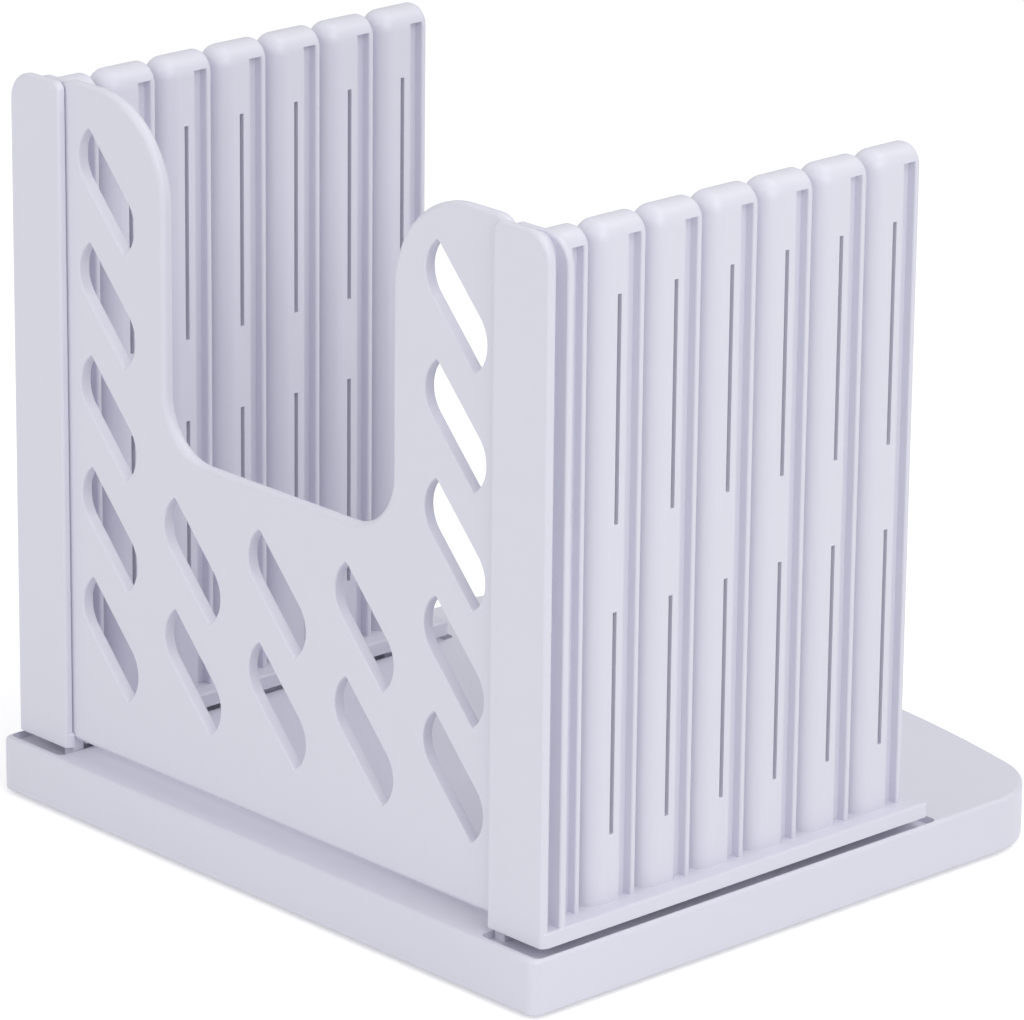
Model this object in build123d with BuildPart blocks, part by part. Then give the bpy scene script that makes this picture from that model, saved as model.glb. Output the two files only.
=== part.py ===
"""Bread slicer guide: a base tray, two comb side panels and a perforated front panel.

Frame: +X to the right, -Y towards the openwork front panel, +Z up.
The origin is on the table, under the middle of the outline. Lengths are millimetres.
"""
import os

from build123d import *

# --- driving dimensions -------------------------------------------------------------------
# base tray
base_width = 158.0           # left to right
base_depth = 150.4           # front edge to the crown of the bowed back edge
base_thickness = 11.2
base_back_bow = 276.0        # plan radius of the back edge
base_front_corner = 2.2
base_back_corner = 18.0
base_top_round = 0.9
base_foot_round = 0.6
base_skin = 2.6              # thickness of the top of the tray
base_wall = 2.6              # front and back walls around the hollow underside
base_rib = 2.2               # stiffening ribs of the underside
base_rib_rows = 2
pocket_corner = 3.0
rail_inset = 4.4             # solid rail under each side panel, inwards of the panel's face
seat_depth = 1.5             # shallow recess that takes the foot of a side panel
seat_rim = 0.8               # what is left of the tray outside the recess
seat_front = 1.6
seat_corner = 1.4

# anti-slip pads
pad_radius = 5.0
pad_thickness = 2.0
pad_stand = 0.8              # how far a pad stands out below the tray
pad_clearance = 0.1
pad_front_margin = 9.5       # pad centre to the front edge
pad_back_margin = 26.4       # pad centre to the crown of the back edge
pad_back_inset = 13.5        # rear pad centre to the side of the tray
pad_edge_round = 0.5

# side panels
inner_width = 124.3          # clear width for the loaf
side_thickness = 15.1        # across the flanges of the end post
rib_thickness = 8.6
side_top = 150.0             # top of the end post above the tray's underside
rib_drop = 1.6               # top of the ribs below the top of the end post
post_setback = 3.3           # front face of the end post to the front edge of the tray
foot_gap = 1.2               # daylight between the foot plate and the tray's top
foot_thickness = 3.0
foot_overhang = 0.4          # foot plate beyond the sides of the end post
foot_tail = 4.3              # foot plate beyond the last rib
foot_corner = 1.6
foot_edge_round = 0.5

# ribs and knife gaps
slice_count = 6              # knife gaps, one slice thickness apart
slice_pitch = 14.36
knife_gap = 1.8
fin_thickness = 1.5
channel_width = 3.0
channel_depth = 2.0
cap_thickness = 3.0          # roof over the channels
channel_mouth_round = 0.4
rib_shoulder = 4.0           # top corners of a rib, seen from the front
rib_nose = 3.8               # rounding of a rib towards the knife gap in front of it
rib_back_round = 1.0
relief_width = 1.0           # slender through slots in each rib
relief_from_nose = 5.75
relief_spans = ((29.1, 73.1), (90.2, 134.5))   # heights above the tray's underside

# end post: two flanges with the groove between them, then a channel and the first fin
front_flange = 1.8
rear_flange = 1.6
rear_flange_drop = 1.2       # top of the rear flange below the top of the front one
flange_outer_shoulder = 6.0
flange_inner_shoulder = 2.0
front_flange_round = 0.7
flange_round = 0.5
post_neck = 2.6              # core between the rear flange and the channel
end_channel_width = 2.7

# plug-in tongues under the foot, and their sockets
tongue_count = 3
tongue_width = 6.0
tongue_length = 12.0
tongue_shoulder = 1.0        # shoulder around a tongue, which rests on the recess floor
tongue_reach = 6.0           # below the recess floor
tongue_round = 0.8
tongue_from_face = 5.6       # middle of a tongue to the panel's loaf side
tongue_first = 23.0          # centre of the first tongue, from the front edge of the tray
tongue_last = 97.0
socket_clearance = 0.2
socket_floor_gap = 0.5

# front panel
panel_thickness = 2.6
panel_clearance = 0.15       # front and back, in the grooves of the posts
panel_end_clearance = 0.25   # at the bottom of each groove
panel_bottom = 13.9          # lower edge above the tray's underside
panel_top = 150.4
panel_shoulder = 4.5         # outer top corners
panel_edge_round = 1.1
ear_radius = 20.0
notch_width = 66.0
notch_bottom = 81.5
notch_corner = 12.0
leg_clearance = 0.25         # leg inside its groove, towards the loaf

# slanted leaf openings
leaf_column_pitch = 25.15
leaf_row_pitch = 23.0
leaf_columns = 5
leaf_rows = 5
leaf_low_rows = 2            # rows below the notch, where every column has a leaf
leaf_first_row = 38.35       # centre of the lowest row above the tray's underside
leaf_tip = (-5.15, 11.65)    # sharp upper tip, from the middle of the leaf
leaf_bend = (6.4, -0.7)      # end of the straight edge below that tip
leaf_tip_round = 0.4
leaf_edge_round = 0.4

# --- places worked out from them ------------------------------------------------------------
y_front = -base_depth / 2                    # front edge of the tray
z_under = pad_stand                          # underside of the tray
z_board = z_under + base_thickness           # top of the tray
z_seat = z_board - seat_depth
z_foot = z_board + foot_gap
z_foot_top = z_foot + foot_thickness
z_side_top = z_under + side_top
z_rib_top = z_side_top - rib_drop
x_inner = inner_width / 2
x_middle = x_inner + side_thickness / 2
x_core = x_middle - rib_thickness / 2        # loaf side of the ribs and of the post's core
y_post = y_front + post_setback
groove_width = panel_thickness + 2 * panel_clearance
y_groove = y_post + front_flange
y_rear_flange = y_groove + groove_width
end_unit = front_flange + groove_width + rear_flange + post_neck + end_channel_width + fin_thickness
y_first_fin = y_post + end_unit              # back of the end unit's fin
unit_length = slice_pitch - knife_gap
y_last_fin = y_first_fin + slice_count * slice_pitch
y_foot_back = y_last_fin + foot_tail
y_panel = y_groove + panel_clearance         # front face of the front panel
z_panel_bottom = z_under + panel_bottom
z_panel_top = z_under + panel_top
x_panel = x_core - panel_end_clearance
x_rail = x_inner - rail_inset
tongue_step = (tongue_last - tongue_first) / (tongue_count - 1)
tongue_places = [(x_inner + tongue_from_face, y_front + tongue_first + i * tongue_step) for i in range(tongue_count)]
pad_places = {
    "front_left": (-x_middle, y_front + pad_front_margin),
    "front_right": (x_middle, y_front + pad_front_margin),
    "rear_left": (-base_width / 2 + pad_back_inset, -y_front - pad_back_margin),
    "rear_right": (base_width / 2 - pad_back_inset, -y_front - pad_back_margin),
}

os.makedirs("parts", exist_ok=True)


def bow_at(x):
    """Y of the bowed back edge at a distance x from the middle."""
    return -y_front - base_back_bow + (base_back_bow**2 - x**2) ** 0.5


# --- base tray ------------------------------------------------------------------------------
# One moulding: a board with a bowed back, hollow underneath, with a recess for each side panel.
with BuildPart() as base_tray:
    with BuildSketch(Plane.XY.offset(z_under)) as board:
        with BuildLine():
            back_y = bow_at(base_width / 2)
            Polyline(
                (-base_width / 2, back_y),
                (-base_width / 2, y_front),
                (base_width / 2, y_front),
                (base_width / 2, back_y),
            )
            ThreePointArc((base_width / 2, back_y), (0, -y_front), (-base_width / 2, back_y))
        make_face()
        fillet(board.vertices().group_by(Axis.Y)[0], base_front_corner)
        fillet(board.vertices().group_by(Axis.Y)[-1], base_back_corner)
    extrude(amount=base_thickness)
    fillet(base_tray.faces().sort_by(Axis.Z)[-1].edges(), base_top_round)
    fillet(base_tray.faces().sort_by(Axis.Z)[0].edges(), base_foot_round)

    # recesses under the side panels, open to the top
    seat_outer = base_width / 2 - seat_rim
    seat_back = y_foot_back + seat_front
    with BuildSketch(Plane.XY.offset(z_seat)):
        seat_low = y_front + seat_front
        with Locations(
            ((x_inner + seat_outer) / 2, (seat_low + seat_back) / 2),
            (-(x_inner + seat_outer) / 2, (seat_low + seat_back) / 2),
        ):
            RectangleRounded(seat_outer - x_inner, seat_back - seat_low, seat_corner)
    extrude(amount=seat_depth + base_top_round, mode=Mode.SUBTRACT)

    # sockets for the tongues
    socket_depth = tongue_reach + socket_floor_gap
    with BuildSketch(Plane.XY.offset(z_seat)):
        with Locations([(side * x, y) for side in (-1, 1) for x, y in tongue_places]):
            RectangleRounded(
                tongue_width + 2 * socket_clearance,
                tongue_length + 2 * socket_clearance,
                tongue_round,
            )
    extrude(amount=-socket_depth, mode=Mode.SUBTRACT)

    # hollow underside: two columns of pockets between the walls and ribs
    pocket_width = x_rail - base_rib / 2
    pocket_front = y_front + base_wall
    pocket_back = bow_at(x_rail) - base_wall
    pocket_length = (pocket_back - pocket_front - base_rib_rows * base_rib) / (base_rib_rows + 1)
    with BuildSketch(Plane.XY.offset(z_under)):
        for row in range(base_rib_rows + 1):
            pocket_y = pocket_front + pocket_length / 2 + row * (pocket_length + base_rib)
            with Locations(
                (-(pocket_width + base_rib) / 2, pocket_y), ((pocket_width + base_rib) / 2, pocket_y)
            ):
                RectangleRounded(pocket_width, pocket_length, pocket_corner)
    extrude(amount=base_thickness - base_skin, mode=Mode.SUBTRACT)

    # round recesses for the pads
    with BuildSketch(Plane.XY.offset(z_under)):
        with Locations(*pad_places.values()):
            Circle(pad_radius + pad_clearance)
    extrude(amount=pad_thickness - pad_stand, mode=Mode.SUBTRACT)

# --- anti-slip pads -------------------------------------------------------------------------
pads = {}
for place, (pad_x, pad_y) in pad_places.items():
    with BuildPart() as pad:
        with BuildSketch():
            with Locations((pad_x, pad_y)):
                Circle(pad_radius)
        extrude(amount=pad_thickness)
        fillet(pad.edges().group_by(Axis.Z)[0], pad_edge_round)
    pads[place] = pad.part

# --- side panels ----------------------------------------------------------------------------
# Made as the right-hand panel; the left-hand one is its mirror image.


def upright(y_start, length, width, z_top, inner_shoulder, outer_shoulder):
    """A slab that stands in the foot plate, with its upper corners rounded."""
    with BuildPart() as slab:
        with BuildSketch(Plane.XZ.offset(-y_start)) as face:
            with Locations((x_middle, (z_foot + z_top) / 2)):
                Rectangle(width, z_top - z_foot)
            fillet(face.vertices().group_by(Axis.Y)[-1].sort_by(Axis.X)[0], inner_shoulder)
            fillet(face.vertices().group_by(Axis.Y)[-1].sort_by(Axis.X)[-1], outer_shoulder)
        extrude(amount=-length)
    return slab.part


def front_rim(piece):
    """The edges of a slab's front face, apart from the one at its foot."""
    return piece.faces().sort_by(Axis.Y)[0].edges().sort_by(Axis.Z)[1:]


def back_rim(piece):
    """The edges of a slab's back face, apart from the one at its foot."""
    return piece.faces().sort_by(Axis.Y)[-1].edges().sort_by(Axis.Z)[1:]


def channel_pair(y_middle, width):
    """What is cut away for the channels in both faces of a rib, up to the cap."""
    with BuildPart() as channels:
        with BuildSketch(Plane.XY.offset(z_foot_top)):
            with Locations((x_core, y_middle), (x_core + rib_thickness, y_middle)):
                Rectangle(2 * channel_depth, width)
        extrude(amount=z_rib_top - cap_thickness - z_foot_top)
    return channels.part


def channel_mouths(piece, y_middle, width):
    """The upright edges where the channels open into the faces of a rib."""
    edges = piece.edges().filter_by(Axis.Z).filter_by_position(
        Axis.Y, y_middle - width / 2 - 0.01, y_middle + width / 2 + 0.01
    )
    return edges.group_by(Axis.X)[0] + edges.group_by(Axis.X)[-1]


# One regular rib, where the first one stands behind the end post.
y_nose = y_first_fin + knife_gap
with BuildPart() as rib:
    add(upright(y_nose, unit_length, rib_thickness, z_rib_top, rib_shoulder, rib_shoulder))
    fillet(front_rim(rib), rib_nose)
    fillet(back_rim(rib), rib_back_round)
    channel_y = y_nose + unit_length - fin_thickness - channel_width / 2
    add(channel_pair(channel_y, channel_width), mode=Mode.SUBTRACT)
    fillet(channel_mouths(rib, channel_y, channel_width), channel_mouth_round)
    for slot_low, slot_high in relief_spans:
        with BuildSketch(Plane.XY.offset(z_under + slot_low)):
            with Locations((x_middle, y_nose + relief_from_nose)):
                Rectangle(2 * rib_thickness, relief_width)
        extrude(amount=slot_high - slot_low, mode=Mode.SUBTRACT)

# The end post: a core as thick as the ribs, with a channel and a fin, and two wide flanges.
# The panel runs between the flanges on the loaf side. The outer groove is left open.
with BuildPart() as post_front:
    add(upright(
        y_post, front_flange, side_thickness, z_side_top, flange_inner_shoulder, flange_outer_shoulder
    ))
    fillet(front_rim(post_front), front_flange_round)
    fillet(back_rim(post_front), flange_round)

with BuildPart() as post_rear:
    z_rear_flange = z_side_top - rear_flange_drop
    add(upright(
        y_rear_flange, rear_flange, side_thickness, z_rear_flange,
        flange_inner_shoulder, flange_outer_shoulder,
    ))
    fillet(front_rim(post_rear), flange_round)
    fillet(back_rim(post_rear), flange_round)

with BuildPart() as end_post:
    y_core = y_post + front_flange / 2
    add(upright(y_core, y_first_fin - y_core, rib_thickness, z_rib_top, rib_shoulder, rib_shoulder))
    fillet(back_rim(end_post), rib_back_round)
    channel_y = y_first_fin - fin_thickness - end_channel_width / 2
    add(channel_pair(channel_y, end_channel_width), mode=Mode.SUBTRACT)
    fillet(channel_mouths(end_post, channel_y, end_channel_width), channel_mouth_round)
    add(post_front.part)
    add(post_rear.part)

with BuildPart() as right_side_panel:
    # foot plate under all the ribs
    with BuildSketch(Plane.XY.offset(z_foot)):
        with Locations((x_middle, (y_post + y_foot_back) / 2)):
            RectangleRounded(
                side_thickness + 2 * foot_overhang, y_foot_back - y_post, foot_corner
            )
    extrude(amount=foot_thickness)
    fillet(right_side_panel.faces().sort_by(Axis.Z)[-1].edges(), foot_edge_round)

    add(end_post.part)
    with Locations([(0, i * slice_pitch, 0) for i in range(slice_count)]):
        add(rib.part)

    # tongues: a shoulder that rests in the recess, and the tongue itself below it
    with BuildSketch(Plane.XY.offset(z_foot)):
        with Locations(tongue_places):
            Rectangle(tongue_width + 2 * tongue_shoulder, tongue_length + 2 * tongue_shoulder)
    extrude(amount=z_seat - z_foot)
    with BuildSketch(Plane.XY.offset(z_seat)):
        with Locations(tongue_places):
            RectangleRounded(tongue_width, tongue_length, tongue_round)
    extrude(amount=-tongue_reach)

    # the groove for the front panel goes on down through the foot plate
    groove_mouth = x_inner - foot_overhang - panel_clearance
    with BuildSketch(Plane.XY.offset(z_seat)):
        with Locations(((groove_mouth + x_core) / 2, y_groove + groove_width / 2)):
            Rectangle(x_core - groove_mouth, groove_width)
    extrude(amount=z_foot_top - z_seat, mode=Mode.SUBTRACT)

with BuildPart() as left_side_panel:
    mirror(right_side_panel.part, about=Plane.YZ)

# --- front panel ----------------------------------------------------------------------------
# A flat plate with two ears and a deep notch, pierced by rows of slanted leaf openings.
with BuildPart() as front_panel:
    notch_x = notch_width / 2
    z_notch = z_under + notch_bottom
    with BuildSketch(Plane.XZ.offset(-y_panel)) as plate:
        with BuildLine():
            Polyline(
                (-x_panel, z_panel_bottom),
                (x_panel, z_panel_bottom),
                (x_panel, z_panel_top),
                (notch_x, z_panel_top),
                (notch_x, z_notch),
                (-notch_x, z_notch),
                (-notch_x, z_panel_top),
                (-x_panel, z_panel_top),
                close=True,
            )
        make_face()
        tops = plate.vertices().group_by(Axis.Y)[-1].sort_by(Axis.X)
        fillet([tops[0], tops[-1]], panel_shoulder)
        tops = plate.vertices().filter_by_position(Axis.X, -notch_x - 0.1, notch_x + 0.1)
        fillet(tops.group_by(Axis.Y)[-1], ear_radius)
        floor = plate.vertices().filter_by_position(Axis.Y, z_notch - 0.1, z_notch + 0.1)
        fillet(floor, notch_corner)
    extrude(amount=-panel_thickness)
    fillet(front_panel.faces().sort_by(Axis.Y)[0].edges(), panel_edge_round)
    fillet(front_panel.faces().sort_by(Axis.Y)[-1].edges(), panel_edge_round)

    # leaf openings: all five columns below the notch, the outer two up the ears
    middle_column = leaf_columns // 2
    leaf_places = [
        ((column - middle_column) * leaf_column_pitch, z_under + leaf_first_row + row * leaf_row_pitch)
        for column in range(leaf_columns)
        for row in range(leaf_rows)
        if row < leaf_low_rows or column in (0, leaf_columns - 1)
    ]
    tip = Vector(*leaf_tip)
    bend = Vector(*leaf_bend)
    with BuildSketch(Plane.XZ.offset(-y_panel)):
        with Locations(leaf_places):
            with BuildSketch(mode=Mode.PRIVATE) as leaf:
                with BuildLine():
                    Line(tip, bend)
                    TangentArc(bend, -tip, tangent=bend - tip)
                    Line(-tip, -bend)
                    TangentArc(-bend, tip, tangent=tip - bend)
                make_face()
                upright = leaf.vertices().sort_by(Axis.Y)
                fillet([upright[0], upright[-1]], leaf_tip_round)
            add(leaf.sketch)
    extrude(amount=-panel_thickness, mode=Mode.SUBTRACT)
    front_and_back = front_panel.faces().sort_by(Axis.Y)
    rims = [wire.edges() for face in (front_and_back[0], front_and_back[-1]) for wire in face.inner_wires()]
    fillet([edge for rim in rims for edge in rim], leaf_edge_round)

    # legs inside the grooves, which carry the panel on the tray
    leg_inner = x_inner + leg_clearance
    with BuildSketch(Plane.XY.offset(z_seat)):
        for side in (-1, 1):
            with Locations((side * (leg_inner + x_panel) / 2, y_panel + panel_thickness / 2)):
                Rectangle(x_panel - leg_inner, panel_thickness)
    extrude(amount=z_panel_bottom + panel_edge_round - z_seat)

# --- labels and files -----------------------------------------------------------------------
base_tray.part.label = "base_tray"
export_step(base_tray.part, "parts/base_tray.step")
right_side_panel.part.label = "right_side_panel"
export_step(right_side_panel.part, "parts/right_side_panel.step")
left_side_panel.part.label = "left_side_panel"
export_step(left_side_panel.part, "parts/left_side_panel.step")
front_panel.part.label = "front_panel"
export_step(front_panel.part, "parts/front_panel.step")
for place, pad_part in pads.items():
    pad_part.label = f"pad_{place}"
    export_step(pad_part, f"parts/pad_{place}.step")
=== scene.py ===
"""Bread slicer guide: the looks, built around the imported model. Lengths are metres."""
import math

import bmesh
import bpy
from mathutils import Matrix, Vector

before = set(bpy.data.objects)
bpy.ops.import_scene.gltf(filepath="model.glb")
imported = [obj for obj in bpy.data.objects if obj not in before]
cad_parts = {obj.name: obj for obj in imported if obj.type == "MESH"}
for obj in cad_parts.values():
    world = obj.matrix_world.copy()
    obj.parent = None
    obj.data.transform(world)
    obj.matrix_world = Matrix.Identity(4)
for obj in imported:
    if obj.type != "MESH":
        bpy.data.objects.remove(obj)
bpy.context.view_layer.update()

# --- camera ---------------------------------------------------------------------------------
# A long lens, a little above the guide and off its front right corner, so that the front
# panel and the right side panel show about equally and the far panel shows over the notch.
millimetre = 0.001
camera_azimuth = math.radians(47.05)
camera_elevation = math.radians(18.72)
camera_roll = math.radians(-0.61)
camera_distance = 1.2663
camera_aim = Vector((-1.44, -7.23, 64.77)) * millimetre
sensor_width = 36.0
focal_length = 225.18
nearest_seen = 0.05
farthest_seen = 20

towards_camera = Vector((
    math.sin(camera_azimuth) * math.cos(camera_elevation),
    -math.cos(camera_azimuth) * math.cos(camera_elevation),
    math.sin(camera_elevation),
))
level_right = Vector((math.cos(camera_azimuth), math.sin(camera_azimuth), 0))
level_up = towards_camera.cross(level_right)
turned_right = level_right * math.cos(camera_roll) - level_up * math.sin(camera_roll)
turned_up = level_right * math.sin(camera_roll) + level_up * math.cos(camera_roll)

camera_data = bpy.data.cameras.new("camera")
camera_data.sensor_fit = "HORIZONTAL"
camera_data.sensor_width = sensor_width
camera_data.lens = focal_length
camera_data.clip_start = nearest_seen
camera_data.clip_end = farthest_seen
camera = bpy.data.objects.new("camera", camera_data)
axes = Matrix((turned_right, turned_up, towards_camera)).transposed()
camera.matrix_world = Matrix.LocRotScale(camera_aim + towards_camera * camera_distance, axes, None)
bpy.context.collection.objects.link(camera)
bpy.context.scene.camera = camera
bpy.context.scene.view_settings.view_transform = "Standard"


# --- worktop and light ----------------------------------------------------------------------
# A plain white worktop under the guide, a white room, and three large soft panels of light:
# one from the front right, one from high up behind and one from the front left.
class Wire:
    """A socket in a shader. Arithmetic on it adds Math nodes to its tree."""

    def __init__(self, tree, socket=None):
        self.tree = tree
        self.socket = socket

    def node(self, kind, settings=None, inputs=None, output=0):
        """A node with its settings made first, then its sockets' values or links."""
        made = self.tree.nodes.new(kind)
        for name, value in (settings or {}).items():
            setattr(made, name, value)
        for name, value in (inputs or {}).items():
            if isinstance(value, Wire):
                self.tree.links.new(value.socket, made.inputs[name])
            else:
                made.inputs[name].default_value = value
        return Wire(self.tree, made.outputs[output])

    def maths(self, operation, first, second):
        return self.node("ShaderNodeMath", {"operation": operation}, {0: first, 1: second})

    def __add__(self, other):
        return self.maths("ADD", self, other)

    __radd__ = __add__

    def __mul__(self, other):
        return self.maths("MULTIPLY", self, other)

    __rmul__ = __mul__

    def __sub__(self, other):
        return self.maths("SUBTRACT", self, other)

    def __rsub__(self, other):
        return self.maths("SUBTRACT", other, self)


def empty_material(name):
    """A new material, a Wire on its tree and its output node."""
    material = bpy.data.materials.new(name)
    material.use_nodes = True
    material.node_tree.nodes.clear()
    output = material.node_tree.nodes.new("ShaderNodeOutputMaterial")
    return material, Wire(material.node_tree), output


worktop_size = 6.0
worktop_colour = (0.88, 0.88, 0.89, 1)
worktop_lift = 0.40              # added for the camera alone, so that the open worktop is white

mesh = bpy.data.meshes.new("worktop")
shape = bmesh.new()
bmesh.ops.create_grid(shape, x_segments=1, y_segments=1, size=worktop_size / 2)
shape.to_mesh(mesh)
shape.free()
worktop = bpy.data.objects.new("worktop", mesh)
bpy.context.collection.objects.link(worktop)

worktop_paint, tree, output = empty_material("worktop_paint")
seen = tree.node("ShaderNodeLightPath", output="Is Camera Ray")
mirrored = tree.node("ShaderNodeLightPath", output="Is Glossy Ray")
surface = tree.node("ShaderNodeBsdfDiffuse", inputs={"Color": worktop_colour})
glow = tree.node("ShaderNodeEmission", inputs={"Strength": (seen + mirrored) * worktop_lift})
both = tree.node("ShaderNodeAddShader", inputs={0: surface, 1: glow})
worktop_paint.node_tree.links.new(both.socket, output.inputs["Surface"])
mesh.materials.append(worktop_paint)

room_strength = 0.5
room_seen_strength = 1.0
world = bpy.data.worlds.new("white_room")
bpy.context.scene.world = world
world.use_nodes = True
world.node_tree.nodes.clear()
tree = Wire(world.node_tree)
seen = tree.node("ShaderNodeLightPath", output="Is Camera Ray")
strength = seen * (room_seen_strength - room_strength) + room_strength
room = tree.node("ShaderNodeBackground", inputs={"Color": (1, 1, 1, 1), "Strength": strength})
output = world.node_tree.nodes.new("ShaderNodeOutputWorld")
world.node_tree.links.new(room.socket, output.inputs["Surface"])


def light_panel(name, azimuth, elevation, distance, size, watts):
    """A square soft light that faces the middle of the guide."""
    data = bpy.data.lights.new(name, "AREA")
    data.shape = "SQUARE"
    data.size = size
    data.energy = watts
    lamp = bpy.data.objects.new(name, data)
    azimuth, elevation = math.radians(azimuth), math.radians(elevation)
    direction = Vector((
        math.sin(azimuth) * math.cos(elevation),
        -math.cos(azimuth) * math.cos(elevation),
        math.sin(elevation),
    ))
    lamp.location = camera_aim + direction * distance
    lamp.rotation_euler = direction.to_track_quat("Z", "Y").to_euler()
    bpy.context.collection.objects.link(lamp)


light_panel("light_right", azimuth=75, elevation=35, distance=1.2, size=0.8, watts=4.0)
light_panel("light_above", azimuth=150, elevation=65, distance=1.2, size=0.9, watts=3.5)
light_panel("light_front", azimuth=-10, elevation=30, distance=1.4, size=0.9, watts=3.6)

# --- base tray ------------------------------------------------------------------------------
# The base is one injection moulding in white ABS with a faint violet cast. The face of the
# mould was finely spark-eroded, which leaves a satin skin, and the cooling leaves faint waves.
white_abs = (0.79, 0.788, 0.885, 1)
mottle_darkest = 0.975           # share of the colour left where the mottle is darkest
mottle_per_wave = 4              # size of a patch of mottle, in waves
mottle_on_shine = 0.10
grain_on_shine = 0.06
wave_height = 0.00025
wave_strength = 0.35
grain_height = 0.00003
grain_strength = 0.5
abs_ior = 1.52
mould_grain = 0.0006


def moulded_plastic(name, wave_size, wave_stretch, roughness):
    """Satin moulded ABS: fine mould grain, slow waves from cooling and a slight mottle."""
    material, tree, output = empty_material(name)
    place = tree.node("ShaderNodeTexCoord", output="Object")
    stretched = tree.node("ShaderNodeMapping", inputs={"Vector": place, "Scale": wave_stretch})
    waves = tree.node("ShaderNodeTexNoise", inputs={
        "Vector": stretched, "Scale": 1 / wave_size, "Detail": 2.0, "Roughness": 0.5,
    })
    grain = tree.node("ShaderNodeTexNoise", inputs={
        "Vector": place, "Scale": 1 / mould_grain, "Detail": 3.0, "Roughness": 0.6,
    })
    mottle = tree.node("ShaderNodeTexNoise", inputs={
        "Vector": place, "Scale": 1 / (mottle_per_wave * wave_size), "Detail": 3.0, "Roughness": 0.55,
    })
    darker = [channel * mottle_darkest for channel in white_abs[:3]] + [1]
    tint = tree.node("ShaderNodeMix", {"data_type": "RGBA"}, {
        "Factor": mottle, 6: darker, 7: white_abs,
    }, output=2)
    shine = roughness + (mottle - 0.5) * mottle_on_shine + (grain - 0.5) * grain_on_shine
    slow = tree.node("ShaderNodeBump", inputs={
        "Height": waves, "Distance": wave_height, "Strength": wave_strength,
    })
    normal = tree.node("ShaderNodeBump", inputs={
        "Height": grain, "Distance": grain_height, "Strength": grain_strength, "Normal": slow,
    })
    skin = tree.node("ShaderNodeBsdfPrincipled", inputs={
        "Base Color": tint, "Roughness": shine, "Normal": normal, "IOR": abs_ior,
    })
    material.node_tree.links.new(skin.socket, output.inputs["Surface"])
    return material


def dress(node, material):
    """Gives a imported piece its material."""
    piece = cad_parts[node]
    piece.data.materials.clear()
    piece.data.materials.append(material)


tray_plastic = moulded_plastic("tray_plastic", wave_size=0.022, wave_stretch=(1, 1, 1), roughness=0.40)
dress("base_tray", tray_plastic)

# --- side panels ----------------------------------------------------------------------------
# Each side panel is one ABS moulding: a foot plate, an end post and six upright ribs. Its mould
# was polished along the ribs, which leaves faint upright lines in the skin.
comb_plastic = moulded_plastic(
    "comb_plastic", wave_size=0.014, wave_stretch=(1, 1, 0.22), roughness=0.36
)
dress("left_side_panel", comb_plastic)
dress("right_side_panel", comb_plastic)

# --- front panel ----------------------------------------------------------------------------
# A flat moulded plate. Its melt flows up from the lower edge around the leaf openings, which
# leaves the broadest waves of all the pieces.
front_plastic = moulded_plastic(
    "front_plastic", wave_size=0.026, wave_stretch=(1, 1, 0.6), roughness=0.38
)
dress("front_panel", front_plastic)

# --- anti-slip pads -------------------------------------------------------------------------
# Four pressed discs of pale grey silicone rubber, pushed into recesses under the tray.
pad_grey = (0.55, 0.55, 0.57, 1)
pad_dusted = (0.60, 0.60, 0.61, 1)
dust_per_metre = 900.0
dust_height = 0.00008
dust_strength = 0.5
rubber_roughness = 0.72
dust_on_shine = 0.15
rubber_ior = 1.41

pad_rubber, tree, output = empty_material("pad_rubber")
place = tree.node("ShaderNodeTexCoord", output="Object")
dust = tree.node("ShaderNodeTexNoise", inputs={
    "Vector": place, "Scale": dust_per_metre, "Detail": 4.0,
})
tint = tree.node("ShaderNodeMix", {"data_type": "RGBA"}, {
    "Factor": dust, 6: pad_grey, 7: pad_dusted,
}, output=2)
normal = tree.node("ShaderNodeBump", inputs={
    "Height": dust, "Distance": dust_height, "Strength": dust_strength,
})
rubber = tree.node("ShaderNodeBsdfPrincipled", inputs={
    "Base Color": tint, "Roughness": rubber_roughness + (dust - 0.5) * dust_on_shine,
    "Normal": normal, "IOR": rubber_ior,
})
pad_rubber.node_tree.links.new(rubber.socket, output.inputs["Surface"])
for corner in ("front_left", "front_right", "rear_left", "rear_right"):
    dress(f"pad_{corner}", pad_rubber)
